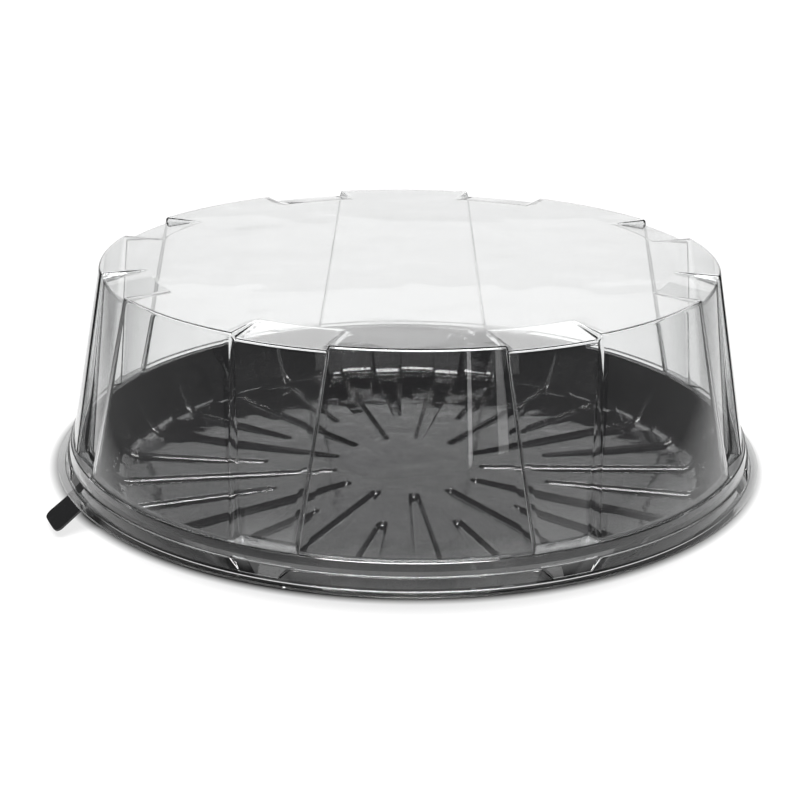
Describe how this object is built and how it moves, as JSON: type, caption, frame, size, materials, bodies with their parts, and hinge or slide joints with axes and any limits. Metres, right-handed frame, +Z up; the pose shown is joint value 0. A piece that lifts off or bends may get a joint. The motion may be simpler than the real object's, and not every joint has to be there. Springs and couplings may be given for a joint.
{
  "type": "humidity dome tray",
  "caption": "Round black plastic tray with wedge grooves and a lift tab, under a clear fluted flat-topped dome lid that lifts off.",
  "frame": {"origin": "on the surface the tray stands on, at the centre of the round tray", "axes": "+Z up along the tray's axis, -Y towards the front, with the lift tab at the left front, near -X"},
  "size_m": [0.3, 0.3, 0.0979],
  "materials": {
    "black_plastic": "glossy black thermoformed sheet",
    "clear_plastic": "clear glossy thermoformed sheet"
  },
  "bodies": {
    "tray": {"tray": "black_plastic"},
    "dome_lid": {"dome_lid": "clear_plastic"}
  },
  "joints": [
    {"name": "dome_lift", "type": "slide", "parent": "tray", "child": "dome_lid", "axis": [0, 0, 1], "range_m": [0, 0.12]}
  ]
}
